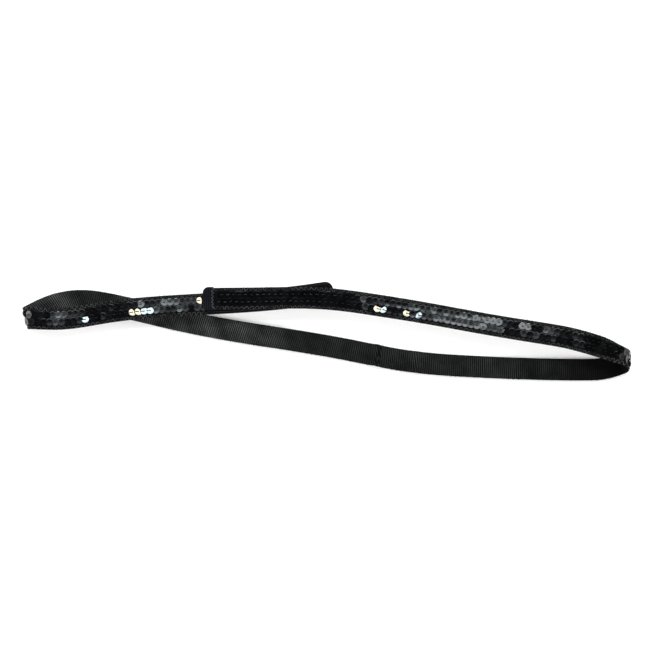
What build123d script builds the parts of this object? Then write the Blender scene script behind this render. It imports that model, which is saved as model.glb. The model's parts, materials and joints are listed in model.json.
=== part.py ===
"""A narrow sequin headband that closes with a hook-and-loop tab, lying flattened on a table.

The band is one long grosgrain ribbon with a sequin tape sewn to its outer face.  It runs
along the table as the lower run, turns over in a soft fold at each end, and comes back as two
arms.  The left arm ends in a strip of loops and the right arm in a tab with a strip of hooks.
Units are millimetres, +X runs along the flattened loop, +Z is up, and the origin is on the
table under the middle of the band.
"""
import os
from math import cos, degrees, floor, radians, sin

from build123d import *

os.makedirs("parts", exist_ok=True)

# Driving dimensions: the flattened loop as a whole
loop_length = 276.4  # end to end, over the sequins at both folds
loop_spread = 45.4  # front to back
middle_along = 0.24  # moves the middle of the outline over the origin
middle_across = -0.57

# The band and its layers
band_width = 10.0
ribbon_thickness = 0.35
tape_thickness = 0.25
stitch_thickness = 0.10
edge_stitch_width = 1.3
row_thread_width = 0.30

# Sequins, in two rows, laid like a checkerboard of an inner and an outer layer
sequin_diameter = 3.5
sequin_thickness = 0.20
sequin_pitch = 2.7
row_overlap = 0.14
layer_gap = 0.05

# Hook-and-loop closure
loop_strip_length = 57.0
loop_strip_inset = 0.3  # from each edge of the band
loop_strip_thickness = 0.80
hook_strip_length = 54.0
hook_strip_inset = 0.5
hook_strip_thickness = 0.80
closure_gap = 0.25
closure_stitch_inset = 1.2
closure_stitch_width = 0.40
hem_length = 4.2
hem_overhang = 0.6
tack_length = 1.6
tack_width = 0.30
tack_count = 5

# Folds at the two ends
left_fold_slack = 0.15  # how far the left fold's sequins stay above the table
fold_sequin_angle = 40.0  # where they stand, above and below the level of the crease
left_crease_angle = 105.0
left_crease_shift = -2.7
right_crease_angle = 87.0
right_crease_shift = 3.9
left_fold_across = 0.296  # where the creases' middles lie, as shares of half the spread
right_fold_across = -0.566
left_band_angle = 17.0  # direction of the band where it meets each crease
right_band_angle = 18.0
fold_facets = 6
fold_sequin_margin = 0.76  # flat sequins start this many diameters from a fold
body_gap = 0.15  # free space between two bodies where the band is divided
hinge_clearance = 0.1  # from the outermost sequin to the hinge line
outline_step = 7.0  # spacing of the points of a strip's long edges

# Worked out from the driving dimensions
half_width = band_width / 2
row_spacing = sequin_diameter - row_overlap
inner_sequin = stitch_thickness + layer_gap
outer_sequin = inner_sequin + sequin_thickness + layer_gap
sequin_stack = outer_sequin + sequin_thickness
lower_level = sequin_stack + tape_thickness  # the ribbon meets the tape here, under the ribbon
fold_sequin_face = tape_thickness + inner_sequin + sequin_thickness
lean = radians(fold_sequin_angle)
sequin_drop = fold_sequin_face * sin(lean) + sequin_diameter / 2 * cos(lean) - lower_level
left_fold_radius = (sequin_drop + left_fold_slack) / (1 - sin(lean))
left_level = lower_level + 2 * left_fold_radius
tab_rise = loop_strip_thickness + closure_gap + hook_strip_thickness + ribbon_thickness
right_level = left_level + tab_rise
right_fold_radius = (right_level - lower_level) / 2


def along(share):
    """Position along the loop, as a share of half its length from the middle."""
    return middle_along + share * loop_length / 2


def across(share):
    """Position across the loop, as a share of half its spread from the middle."""
    return middle_across + share * loop_spread / 2


class Fold:
    """A turn of the band about a level crease: its side, radius, direction and drift.

    The band drifts along the crease as it turns, because it meets the crease askew.
    """

    def __init__(self, side, radius, crease_angle, drift, place_across, band_angle):
        self.radius = radius
        self.drift = drift
        self.crease = Vector(cos(radians(crease_angle)), sin(radians(crease_angle)), 0)
        self.outward = Vector(side * abs(self.crease.Y), -side * self.crease.X, 0)
        self.skew = sin(radians(crease_angle - band_angle))
        face = radius + fold_sequin_face
        self.reach = face * cos(lean) + sequin_diameter / 2 * sin(lean)
        reach_along = along(side) - side * self.reach
        self.centre = Vector(reach_along, place_across, lower_level + radius)

    def radial(self, angle):
        """Unit vector from the crease line at an angle above the level outward direction."""
        return self.outward * cos(radians(angle)) + Vector(0, 0, sin(radians(angle)))

    def plane(self, angle):
        """Plane through the crease line: local X runs along the crease, local Y outward."""
        radial = self.radial(angle)
        origin = self.centre + self.crease * (self.drift * angle / 180)
        return Plane(origin=origin, x_dir=self.crease, z_dir=self.crease.cross(radial))

    def meeting(self, angle, offset):
        """Point in plan where the band comes to the crease, at an offset from its middle."""
        shift = self.drift * angle / 180 + offset / self.skew
        point = self.centre + self.crease * shift
        return Vector(point.X, point.Y, 0)


left_fold = Fold(
    -1, left_fold_radius, left_crease_angle, left_crease_shift, across(left_fold_across),
    left_band_angle,
)
right_fold = Fold(
    1, right_fold_radius, right_crease_angle, right_crease_shift, across(right_fold_across),
    right_band_angle,
)

# Centre lines of the three flat stretches in plan, all running towards +X
lower_path = Spline(
    left_fold.meeting(-90, 0),
    (along(-0.910), across(0.506)),
    (along(-0.808), across(0.616)),
    (along(-0.700), across(0.542)),
    (along(-0.530), across(0.300)),
    (along(-0.332), across(0.050)),
    (along(0.0625), across(-0.350)),
    (along(0.260), across(-0.580)),
    (along(0.457), across(-0.684)),
    (along(0.655), across(-0.730)),
    (along(0.852), across(-0.750)),
    (along(0.921), across(-0.736)),
    right_fold.meeting(-90, 0),
)
left_path = Spline(
    left_fold.meeting(90, 0),
    (along(-0.872), across(0.232)),
    (along(-0.727), across(0.372)),
    (along(-0.530), across(0.510)),
    (along(-0.283), across(0.610)),
    (along(-0.118), across(0.690)),
    (along(0.023), across(0.806)),
)
right_path = Spline(
    (along(-0.404), across(0.626)),
    (along(-0.234), across(0.650)),
    (along(-0.036), across(0.674)),
    (along(0.0395), across(0.644)),
    (along(0.161), across(0.540)),
    (along(0.309), across(0.400)),
    (along(0.507), across(0.180)),
    (along(0.704), across(-0.020)),
    (along(0.803), across(-0.126)),
    (along(0.891), across(-0.284)),
    right_fold.meeting(90, 0),
)

# Where the arms are divided and where the layers start and stop, as distances along the paths
tab_length = hem_length + hook_strip_length
left_tape_end = left_path.length - loop_strip_length
loop_strip_start = left_tape_end + layer_gap
fold_margin = fold_sequin_margin * sequin_diameter
end_margin = sequin_diameter / 2 + layer_gap


def beside(path, distance, offset):
    """Point at a distance along a path, set off to its left."""
    point = path.position_at(distance, position_mode=PositionMode.LENGTH)
    forward = path.tangent_at(distance, position_mode=PositionMode.LENGTH)
    return point + Vector(-forward.Y, forward.X, 0) * offset


def outline(path, first, last, low, high, start=None, end=None):
    """Closed outline of a strip that follows a path between two distances and two offsets.

    start and end are the meetings with a fold's crease, where the strip is cut askew.
    """
    steps = max(2, round((last - first) / outline_step))
    sides = []
    for offset in (low, high):
        points = [beside(path, first + (last - first) * n / steps, offset) for n in range(steps + 1)]
        if start:
            points[0] = start[0].meeting(start[1], offset)
        if end:
            points[-1] = end[0].meeting(end[1], offset)
        sides.append(points)
    Spline(*sides[0])
    Spline(*sides[1])
    Line(sides[0][0], sides[1][0])
    Line(sides[0][-1], sides[1][-1])


def flat_strip(level, thickness, path, first, last, low, high, start=None, end=None):
    """One strip of a given thickness, lying level along a path."""
    with BuildSketch(Plane.XY.offset(level)) as shape:
        with BuildLine():
            outline(path, first, last, low, high, start, end)
        make_face()
    extrude(shape.sketch, amount=thickness)


def fold_strip(fold, first_angle, last_angle, inner, thickness, low, high):
    """Part of a strip's turn round a crease, from an inner distance outwards, in flat facets."""
    sections = []
    for n in range(fold_facets + 1):
        angle = first_angle + (last_angle - first_angle) * n / fold_facets
        with BuildSketch(fold.plane(angle)) as section:
            with Locations(((low + high) / 2 / fold.skew, inner + thickness / 2)):
                Rectangle((high - low) / fold.skew, thickness)
        sections.append(section.sketch)
    loft(sections, ruled=True)


def crest_angle(fold):
    """Angle of half the free space between two bodies, at the crest of a fold."""
    return degrees(body_gap / 2 / fold.radius)


def lower_strip(inner, thickness, low, high):
    """A layer of the lower run with its two quarter folds; inner is its height over the ribbon's
    outer face, so it is negative for the ribbon."""
    flat_strip(
        lower_level - inner - thickness, thickness, lower_path, 0, lower_path.length, low, high,
        start=(left_fold, -90), end=(right_fold, -90),
    )
    for fold in (left_fold, right_fold):
        fold_strip(fold, -90, -crest_angle(fold), fold.radius + inner, thickness, low, high)


def left_strip(inner, thickness, last, low, high):
    """A layer of the left arm, from the crest of the left fold to a distance along the arm."""
    flat_strip(
        left_level + inner, thickness, left_path, 0, last, low, high, start=(left_fold, 90)
    )
    fold_strip(
        left_fold, crest_angle(left_fold), 90, left_fold.radius + inner, thickness, low, high
    )


def right_strip(inner, thickness, low, high):
    """A layer of the right arm, from the tab's bend to the crest of the right fold."""
    flat_strip(
        right_level + inner, thickness, right_path, tab_length + body_gap, right_path.length,
        low, high, end=(right_fold, 90),
    )
    fold_strip(
        right_fold, crest_angle(right_fold), 90, right_fold.radius + inner, thickness, low, high
    )


def tab_strip(inner, thickness, low, high, first=0.0, last=tab_length):
    """A layer of the tab, between two distances from its end."""
    flat_strip(right_level + inner, thickness, right_path, first, last, low, high)


def stitch_lines(level, depth, path, span, half, mode=Mode.ADD):
    """The two sewn lines near a closure strip's long edges, or the grooves that they lie in."""
    for side in (-1, 1):
        line = side * (half - closure_stitch_inset)
        low, high = line - closure_stitch_width / 2, line + closure_stitch_width / 2
        with BuildSketch(Plane.XY.offset(level)) as shape:
            with BuildLine():
                outline(path, *span, low, high)
            make_face()
        extrude(shape.sketch, amount=depth, mode=mode)


def sequin_row(path, first, last, row, layer):
    """Centres of the sequins of one row that lie in one layer of the checkerboard."""
    count = floor((last - first) / sequin_pitch) + 1
    spare = (last - first) - (count - 1) * sequin_pitch
    return [
        beside(path, first + spare / 2 + n * sequin_pitch, row * row_spacing / 2)
        for n in range(count)
        if (n + (row > 0)) % 2 == layer
    ]


def flat_sequins(level, path, first, last, layer):
    """The sequins of both rows that lie in one layer, their undersides at a level."""
    with BuildSketch(Plane.XY.offset(level)) as discs:
        places = sequin_row(path, first, last, -1, layer) + sequin_row(path, first, last, 1, layer)
        with Locations(*places):
            Circle(sequin_diameter / 2)
    extrude(discs.sketch, amount=sequin_thickness)


def fold_sequins(fold, angle):
    """The two sequins that stand on a quarter fold, one from each row, side by side."""
    for row in (-1, 1):
        middle = fold.plane(angle)
        foot = fold.radius + tape_thickness + inner_sequin
        place = middle.from_local_coords((row * (sequin_diameter / 2 + layer_gap), foot, 0))
        standing = Plane(origin=place, x_dir=fold.crease, z_dir=fold.radial(angle))
        with BuildSketch(standing) as disc:
            Circle(sequin_diameter / 2)
        extrude(disc.sketch, amount=sequin_thickness)


# Offsets of the stitched edges and of the two row threads from the middle of the band
edge_offsets = (
    (-half_width + layer_gap, -half_width + edge_stitch_width),
    (half_width - edge_stitch_width, half_width - layer_gap),
)
thread_offsets = [
    (row * row_spacing / 2 - row_thread_width / 2, row * row_spacing / 2 + row_thread_width / 2)
    for row in (-1, 1)
]

pieces = {}

# Lower run: the ribbon faces up and the sequins rest on the table
with BuildPart() as grosgrain_lower_run:
    lower_strip(-ribbon_thickness, ribbon_thickness, -half_width, half_width)
pieces["grosgrain_lower_run"] = grosgrain_lower_run

with BuildPart() as sequin_tape_lower_run:
    lower_strip(0, tape_thickness, -half_width, half_width)
pieces["sequin_tape_lower_run"] = sequin_tape_lower_run

with BuildPart() as edge_stitching_lower_run:
    for low, high in edge_offsets:
        lower_strip(tape_thickness, stitch_thickness, low, high)
pieces["edge_stitching_lower_run"] = edge_stitching_lower_run

with BuildPart() as row_threads_lower_run:
    for low, high in thread_offsets:
        lower_strip(tape_thickness, stitch_thickness, low, high)
pieces["row_threads_lower_run"] = row_threads_lower_run

lower_span = (fold_margin, lower_path.length - fold_margin)

with BuildPart() as sequins_lower_run_resting:
    flat_sequins(0, lower_path, *lower_span, layer=1)
pieces["sequins_lower_run_resting"] = sequins_lower_run_resting

with BuildPart() as sequins_lower_run_raised:
    flat_sequins(sequin_thickness + layer_gap, lower_path, *lower_span, layer=0)
    fold_sequins(left_fold, -fold_sequin_angle)
    fold_sequins(right_fold, -fold_sequin_angle)
pieces["sequins_lower_run_raised"] = sequins_lower_run_raised

# Left arm: its end carries the strip of loops, under the tab
with BuildPart() as grosgrain_left_arm:
    left_strip(-ribbon_thickness, ribbon_thickness, left_path.length, -half_width, half_width)
pieces["grosgrain_left_arm"] = grosgrain_left_arm

with BuildPart() as sequin_tape_left_arm:
    left_strip(0, tape_thickness, left_tape_end, -half_width, half_width)
pieces["sequin_tape_left_arm"] = sequin_tape_left_arm

with BuildPart() as edge_stitching_left_arm:
    for low, high in edge_offsets:
        left_strip(tape_thickness, stitch_thickness, left_tape_end, low, high)
pieces["edge_stitching_left_arm"] = edge_stitching_left_arm

with BuildPart() as row_threads_left_arm:
    for low, high in thread_offsets:
        left_strip(tape_thickness, stitch_thickness, left_tape_end, low, high)
pieces["row_threads_left_arm"] = row_threads_left_arm

left_span = (fold_margin, left_tape_end - end_margin)

with BuildPart() as sequins_left_arm:
    for layer, rise in enumerate((inner_sequin, outer_sequin)):
        flat_sequins(left_level + tape_thickness + rise, left_path, *left_span, layer=layer)
    fold_sequins(left_fold, fold_sequin_angle)
pieces["sequins_left_arm"] = sequins_left_arm

loop_half = half_width - loop_strip_inset
loop_span = (loop_strip_start, left_path.length - layer_gap)
hook_half = half_width - hook_strip_inset
loop_top = left_level + loop_strip_thickness

with BuildPart() as loop_strip:
    flat_strip(left_level, loop_strip_thickness, left_path, *loop_span, -loop_half, loop_half)
    stitch_lines(loop_top, -stitch_thickness, left_path, loop_span, loop_half, Mode.SUBTRACT)
pieces["loop_strip"] = loop_strip

with BuildPart() as loop_strip_stitching:
    stitch_lines(loop_top, -stitch_thickness, left_path, loop_span, loop_half)
pieces["loop_strip_stitching"] = loop_strip_stitching

# Tab: the free end of the right arm, with its strip of hooks and its turned hem
with BuildPart() as grosgrain_tab:
    tab_strip(-ribbon_thickness, ribbon_thickness, -half_width, half_width)
pieces["grosgrain_tab"] = grosgrain_tab

with BuildPart() as sequin_tape_tab:
    tab_strip(0, tape_thickness, -half_width, half_width)
pieces["sequin_tape_tab"] = sequin_tape_tab

with BuildPart() as edge_stitching_tab:
    for low, high in edge_offsets:
        tab_strip(tape_thickness, stitch_thickness, low, high, first=hem_length + layer_gap)
pieces["edge_stitching_tab"] = edge_stitching_tab

with BuildPart() as row_threads_tab:
    for low, high in thread_offsets:
        tab_strip(tape_thickness, stitch_thickness, low, high, first=hem_length + layer_gap)
pieces["row_threads_tab"] = row_threads_tab

tab_span = (hem_length + end_margin, tab_length - end_margin)

with BuildPart() as sequins_tab:
    for layer, rise in enumerate((inner_sequin, outer_sequin)):
        flat_sequins(right_level + tape_thickness + rise, right_path, *tab_span, layer=layer)
pieces["sequins_tab"] = sequins_tab

hem_half = half_width + hem_overhang
hem_bottom = right_level - ribbon_thickness
hem_height = ribbon_thickness + tape_thickness

with BuildPart() as tab_end_hem:
    tab_strip(tape_thickness, ribbon_thickness, -hem_half, hem_half, last=hem_length)
    for low, high in ((-hem_half, -half_width), (half_width, hem_half)):
        flat_strip(hem_bottom, hem_height, right_path, 0, hem_length, low, high)
    with BuildSketch(Plane.XY.offset(hem_bottom)):
        with BuildLine():
            corners = [beside(right_path, 0, side * hem_half) for side in (-1, 1)]
            tip = beside(right_path, 0, 0) - right_path.tangent_at(0) * hem_overhang
            ThreePointArc(corners[0], tip, corners[1])
            Line(*corners)
        make_face()
    extrude(amount=hem_height + ribbon_thickness)
pieces["tab_end_hem"] = tab_end_hem

with BuildPart() as hem_stitching:
    for n in range(tack_count):
        offset = (n - (tack_count - 1) / 2) * band_width / tack_count
        flat_strip(
            right_level + tape_thickness + ribbon_thickness, stitch_thickness, right_path,
            hem_length - tack_length - layer_gap, hem_length - layer_gap,
            offset - tack_width / 2, offset + tack_width / 2,
        )
pieces["hem_stitching"] = hem_stitching

hook_span = (hem_length, hem_length + hook_strip_length - layer_gap)
hook_level = right_level - ribbon_thickness - hook_strip_thickness

with BuildPart() as hook_strip:
    flat_strip(hook_level, hook_strip_thickness, right_path, *hook_span, -hook_half, hook_half)
    stitch_lines(hook_level, stitch_thickness, right_path, hook_span, hook_half, Mode.SUBTRACT)
pieces["hook_strip"] = hook_strip

with BuildPart() as hook_strip_stitching:
    stitch_lines(hook_level, stitch_thickness, right_path, hook_span, hook_half)
pieces["hook_strip_stitching"] = hook_strip_stitching

# Right arm: from the tab's bend to the right fold
with BuildPart() as grosgrain_right_arm:
    right_strip(-ribbon_thickness, ribbon_thickness, -half_width, half_width)
pieces["grosgrain_right_arm"] = grosgrain_right_arm

with BuildPart() as sequin_tape_right_arm:
    right_strip(0, tape_thickness, -half_width, half_width)
pieces["sequin_tape_right_arm"] = sequin_tape_right_arm

with BuildPart() as edge_stitching_right_arm:
    for low, high in edge_offsets:
        right_strip(tape_thickness, stitch_thickness, low, high)
pieces["edge_stitching_right_arm"] = edge_stitching_right_arm

with BuildPart() as row_threads_right_arm:
    for low, high in thread_offsets:
        right_strip(tape_thickness, stitch_thickness, low, high)
pieces["row_threads_right_arm"] = row_threads_right_arm

right_span = (tab_length + body_gap + end_margin, right_path.length - fold_margin)

with BuildPart() as sequins_right_arm:
    for layer, rise in enumerate((inner_sequin, outer_sequin)):
        flat_sequins(right_level + tape_thickness + rise, right_path, *right_span, layer=layer)
    fold_sequins(right_fold, fold_sequin_angle)
pieces["sequins_right_arm"] = sequins_right_arm

for name, piece in pieces.items():
    piece.part.label = name
    export_step(piece.part, f"parts/{name}.step")

# Hinge lines, in plan and height, for the two folds and the tab's bend
for name, fold in (("left fold", left_fold), ("right fold", right_fold)):
    hinge = fold.centre + fold.outward * (fold.reach + hinge_clearance)
    print(name, "hinge passes", hinge, "along", fold.crease)
bend = beside(right_path, tab_length + body_gap / 2, 0)
bend_direction = right_path.tangent_at(tab_length, position_mode=PositionMode.LENGTH)
bend_level = right_level + tape_thickness + sequin_stack + hinge_clearance
print("tab bend hinge passes", bend, "at level", bend_level, "across", bend_direction)
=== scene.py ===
"""A narrow black sequin headband, lying flattened, that closes with a hook-and-loop tab."""
import json
import math

import bpy
import numpy as np
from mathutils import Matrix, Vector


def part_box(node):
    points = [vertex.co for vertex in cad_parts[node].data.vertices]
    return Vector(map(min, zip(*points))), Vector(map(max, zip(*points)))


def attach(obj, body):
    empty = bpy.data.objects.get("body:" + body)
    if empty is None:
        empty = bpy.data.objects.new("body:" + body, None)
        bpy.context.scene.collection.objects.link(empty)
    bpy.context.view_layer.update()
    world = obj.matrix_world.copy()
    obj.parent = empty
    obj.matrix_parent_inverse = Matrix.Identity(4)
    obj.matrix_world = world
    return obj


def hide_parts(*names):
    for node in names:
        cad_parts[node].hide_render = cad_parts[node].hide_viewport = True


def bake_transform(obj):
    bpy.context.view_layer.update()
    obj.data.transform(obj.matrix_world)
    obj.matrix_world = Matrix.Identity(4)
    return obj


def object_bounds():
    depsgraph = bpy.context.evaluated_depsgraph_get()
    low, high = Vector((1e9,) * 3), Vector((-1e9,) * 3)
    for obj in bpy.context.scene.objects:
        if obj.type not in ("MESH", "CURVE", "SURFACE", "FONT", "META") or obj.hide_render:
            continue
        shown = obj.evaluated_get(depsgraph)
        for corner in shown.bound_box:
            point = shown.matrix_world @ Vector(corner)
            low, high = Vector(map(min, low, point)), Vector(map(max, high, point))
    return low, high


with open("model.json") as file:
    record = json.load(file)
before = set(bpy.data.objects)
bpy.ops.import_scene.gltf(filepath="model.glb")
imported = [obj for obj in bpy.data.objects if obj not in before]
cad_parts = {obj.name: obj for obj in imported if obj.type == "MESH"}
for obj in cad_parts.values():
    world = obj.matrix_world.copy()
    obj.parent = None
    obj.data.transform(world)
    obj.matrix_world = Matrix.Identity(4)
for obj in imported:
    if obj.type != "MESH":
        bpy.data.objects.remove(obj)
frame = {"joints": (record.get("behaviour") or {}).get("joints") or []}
cad_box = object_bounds()

# ---------------------------------------------------------------------------------------------
# The view: a camera high over the front edge of a pale table, and soft studio light.  Nothing here
# is part of the headband.
# ---------------------------------------------------------------------------------------------
camera_height_angle = math.radians(80)
camera_distance = 1.2
field_width = 0.2985  # how much of the table's width is in view, in metres
aim = np.array([0.0007, 0.0010, 0.0040])

camera_data = bpy.data.cameras.new("camera")
camera_data.sensor_width = 36
camera_data.lens = camera_data.sensor_width * camera_distance / field_width
camera_data.clip_start = 0.01
camera_data.clip_end = 20
camera = bpy.data.objects.new("camera", camera_data)
bpy.context.scene.collection.objects.link(camera)
back = np.array([0, -math.cos(camera_height_angle), math.sin(camera_height_angle)])
camera.location = aim + back * camera_distance
camera.rotation_euler = (math.pi / 2 - camera_height_angle, 0, 0)
bpy.context.scene.camera = camera
bpy.context.scene.view_settings.view_transform = "Standard"


def soft_light(name, place, size, power, tint=(1, 1, 1)):
    """A rectangular soft box that looks at the origin from a place."""
    data = bpy.data.lights.new(name, "AREA")
    data.shape = "RECTANGLE"
    data.size, data.size_y = size
    data.energy = power
    data.color = tint
    light = bpy.data.objects.new(name, data)
    bpy.context.scene.collection.objects.link(light)
    light.location = place
    to_origin = Vector(-np.array(place, float))
    light.rotation_euler = to_origin.to_track_quat("-Z", "Y").to_euler()
    return light


# Two strips and a long soft box stand behind the table, where the sequins can mirror them.  A dim
# wide box lies round the long one, and one large box on each side lights the cloth.
cool_strip = soft_light("cool_strip_light", (-0.35, 0.99, 1.26), (0.30, 0.20), 6.6, (0.76, 0.96, 1.0))
warm_strip = soft_light("warm_strip_light", (0.35, 0.99, 1.26), (0.30, 0.20), 6.6, (1.0, 0.94, 0.70))
back_soft = soft_light("back_soft_light", (0.0, 0.745, 1.527), (1.4, 0.24), 5.9, (0.86, 0.95, 1.0))
soft_light("back_halo_light", (0.0, 0.75, 1.56), (1.6, 0.66), 3.2, (0.88, 0.95, 1.0))
soft_light("left_light", (-1.6, -0.6, 0.8), (1.2, 1.2), 20)
soft_light("right_light", (1.6, -0.7, 0.8), (1.2, 1.2), 13, (1.0, 0.98, 0.94))


def tone_ramp(tree, first_tone, second_tone, first_at=0.0, second_at=1.0):
    """A colour ramp that runs from a first tone at one value to a second tone at another."""
    made = tree.nodes.new("ShaderNodeValToRGB")
    first, second = made.color_ramp.elements
    first.position = first_at
    first.color = (*first_tone, 1)
    second.position = second_at
    second.color = (*second_tone, 1)
    return made


# The studio: pale walls all round, and a dark ceiling over the table.
world = bpy.data.worlds.new("studio")
bpy.context.scene.world = world
world.use_nodes = True
studio = world.node_tree
direction = studio.nodes.new("ShaderNodeTexCoord")
split = studio.nodes.new("ShaderNodeSeparateXYZ")
pale_wall = (1.0, 1.0, 1.0)
dark_ceiling = (0.024, 0.025, 0.027)
walls = tone_ramp(studio, pale_wall, dark_ceiling, 0.45, 0.92)
studio.links.new(direction.outputs["Generated"], split.inputs["Vector"])
studio.links.new(split.outputs["Z"], walls.inputs["Fac"])
studio.links.new(walls.outputs["Color"], studio.nodes["Background"].inputs["Color"])
studio.nodes["Background"].inputs["Strength"].default_value = 1.6

floor_mesh = bpy.data.meshes.new("table")
floor_half = 3.0
corners = [(-1, -1), (1, -1), (1, 1), (-1, 1)]
floor_mesh.from_pydata([(x * floor_half, y * floor_half, 0) for x, y in corners], [], [(0, 1, 2, 3)])
floor = bpy.data.objects.new("table", floor_mesh)
bpy.context.scene.collection.objects.link(floor)
floor_finish = bpy.data.materials.new("pale_table")
floor_finish.use_nodes = True
floor_shader = floor_finish.node_tree.nodes["Principled BSDF"]
floor_shader.inputs["Base Color"].default_value = (0.93, 0.93, 0.93, 1)
floor_shader.inputs["Roughness"].default_value = 0.9
# A faint glow of its own keeps the shadows on the table pale.
floor_shader.inputs["Emission Color"].default_value = (1, 1, 1, 1)
floor_shader.inputs["Emission Strength"].default_value = 0.13
floor_mesh.materials.append(floor_finish)

# ---------------------------------------------------------------------------------------------
# The ribbon: black grosgrain 10 mm wide, woven with a rib every 0.9 mm, one long strip that is
# the band's inner face.  It follows the band's course, which every other layer follows too.
# ---------------------------------------------------------------------------------------------
MM = 0.001
ribbon_half = 5.0 * MM
ribbon_thickness = 0.35 * MM
rib_pitch = 0.90 * MM
rib_height = 0.12 * MM
course_step = 0.25 * MM

# The course runs where the ribbon's face meets the tape: under the lower run's ribbon, which lies
# face down, and on top of the arms'.
lower_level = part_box("grosgrain_lower_run")[0].z
left_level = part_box("grosgrain_left_arm")[1].z
right_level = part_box("grosgrain_right_arm")[1].z
# Half the length and half the spread that the course's places are shares of, and their middle.
half_long = (cad_box[1].x - cad_box[0].x) / 2 - 0.38 * MM
half_spread = (cad_box[1].y - cad_box[0].y) / 2 + 0.04 * MM
loop_middle = np.array([0.24, -0.57]) * MM
hinges = {j["name"]: j for j in frame["joints"]}


def plan(along, across):
    """A point of the course in plan, from its shares of the loop's half length and half spread."""
    return [loop_middle[0] + along * half_long, loop_middle[1] + across * half_spread]


def through(points, step):
    """A natural cubic spline through the points, with the chord lengths as its parameter, given
    back at an even step along its length."""
    p = np.array(points, float)
    gap = np.linalg.norm(np.diff(p, axis=0), axis=1)
    knot = np.concatenate([[0], np.cumsum(gap)])
    n = len(p)
    left = np.eye(n)
    right = np.zeros_like(p)
    for k in range(1, n - 1):
        left[k, k - 1 : k + 2] = gap[k - 1], 2 * (gap[k - 1] + gap[k]), gap[k]
        right[k] = 6 * ((p[k + 1] - p[k]) / gap[k] - (p[k] - p[k - 1]) / gap[k - 1])
    bend = np.linalg.solve(left, right)
    fine = 4000
    u = np.linspace(0, knot[-1], fine)
    k = np.clip(np.searchsorted(knot, u, side="right") - 1, 0, n - 2)
    h = gap[k][:, None]
    a = (knot[k + 1] - u)[:, None]
    b = (u - knot[k])[:, None]
    line = (bend[k] * a**3 + bend[k + 1] * b**3) / (6 * h)
    line += (p[k] / h - bend[k] * h / 6) * a + (p[k + 1] / h - bend[k + 1] * h / 6) * b
    run = np.concatenate([[0], np.cumsum(np.linalg.norm(np.diff(line, axis=0), axis=1))])
    even = np.linspace(0, run[-1], max(2, round(run[-1] / step) + 1))
    return np.stack([np.interp(even, run, line[:, i]) for i in range(line.shape[1])], axis=1)


class Turn:
    """A half turn of the band about a level crease: half a circle as high as the arm stands over
    the lower run, drifting along the crease as it goes round.  Its outermost point stands a gap
    inside the hinge's line."""

    def __init__(self, hinge, side, level, gap, drift):
        axis = np.array(hinges[hinge]["axis"], float)
        self.crease = axis * np.sign(axis[1])
        self.outward = side * np.array([self.crease[1], -self.crease[0], 0])
        self.radius = (level - lower_level) / 2
        self.drift = drift
        self.centre = np.array(hinges[hinge]["pos_m"]) - self.outward * (self.radius + gap)
        self.centre[2] = lower_level + self.radius

    def radial(self, angle):
        """Unit vectors from the centre: outward at 0 degrees, up at 90 and down at -90."""
        a = np.radians(np.atleast_1d(angle))[:, None]
        return self.outward * np.cos(a) + np.array([0, 0, 1.0]) * np.sin(a)

    def at(self, angle):
        """Places on the half circle: the centre, the drift so far and the radius added up."""
        angle = np.atleast_1d(angle).astype(float)
        shift = self.crease * (self.drift * angle / 180)[:, None]
        return self.centre + shift + self.radial(angle) * self.radius


left_turn = Turn("left_fold_hinge", -1, left_level, 1.01 * MM, -2.7 * MM)
right_turn = Turn("right_fold_hinge", 1, right_level, 0.76 * MM, 3.9 * MM)

# The course in plan, from the tab's end to the far end of the left arm.
tab_and_right_points = [
    plan(-0.404, 0.620),
    plan(-0.234, 0.628),
    plan(-0.036, 0.630),
    plan(0.0395, 0.596),
    plan(0.161, 0.492),
    plan(0.309, 0.346),
    plan(0.507, 0.124),
    plan(0.704, -0.078),
    plan(0.803, -0.190),
    plan(0.891, -0.342),
    right_turn.at(90)[0][:2],
]
lower_points = [
    right_turn.at(-90)[0][:2],
    plan(0.921, -0.736),
    plan(0.852, -0.768),
    plan(0.655, -0.748),
    plan(0.457, -0.696),
    plan(0.260, -0.586),
    plan(0.0625, -0.354),
    plan(-0.332, 0.050),
    plan(-0.530, 0.300),
    plan(-0.700, 0.546),
    plan(-0.808, 0.640),
    plan(-0.910, 0.540),
    left_turn.at(-90)[0][:2],
]
left_points = [
    left_turn.at(90)[0][:2],
    plan(-0.872, 0.228),
    plan(-0.727, 0.356),
    plan(-0.530, 0.484),
    plan(-0.283, 0.572),
    plan(-0.118, 0.664),
    plan(0.023, 0.788),
]


def flat_stretch(points, level, up):
    """A level stretch of the course, and its outward directions."""
    line = through(points, course_step)
    place = np.column_stack([line, np.full(len(line), level)])
    return place, np.tile([0, 0, float(up)], (len(line), 1))


def turned_stretch(turn, first, last):
    """The stretch of the course round a turn, and its outward directions."""
    count = round(math.pi * turn.radius / course_step)
    angle = np.linspace(first, last, count)[1:-1]
    return turn.at(angle), turn.radial(angle)


stretches = [
    flat_stretch(tab_and_right_points, right_level, 1),
    turned_stretch(right_turn, 90, -90),
    flat_stretch(lower_points, lower_level, -1),
    turned_stretch(left_turn, -90, 90),
    flat_stretch(left_points, left_level, 1),
]
course = np.concatenate([s[0] for s in stretches])
outward = np.concatenate([s[1] for s in stretches])
run = np.concatenate([[0], np.cumsum(np.linalg.norm(np.diff(course, axis=0), axis=1))])
marks = run[np.cumsum([len(s[0]) for s in stretches]) - 1]
right_fold_from, right_fold_to, left_fold_from, left_fold_to, band_end = marks


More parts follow.
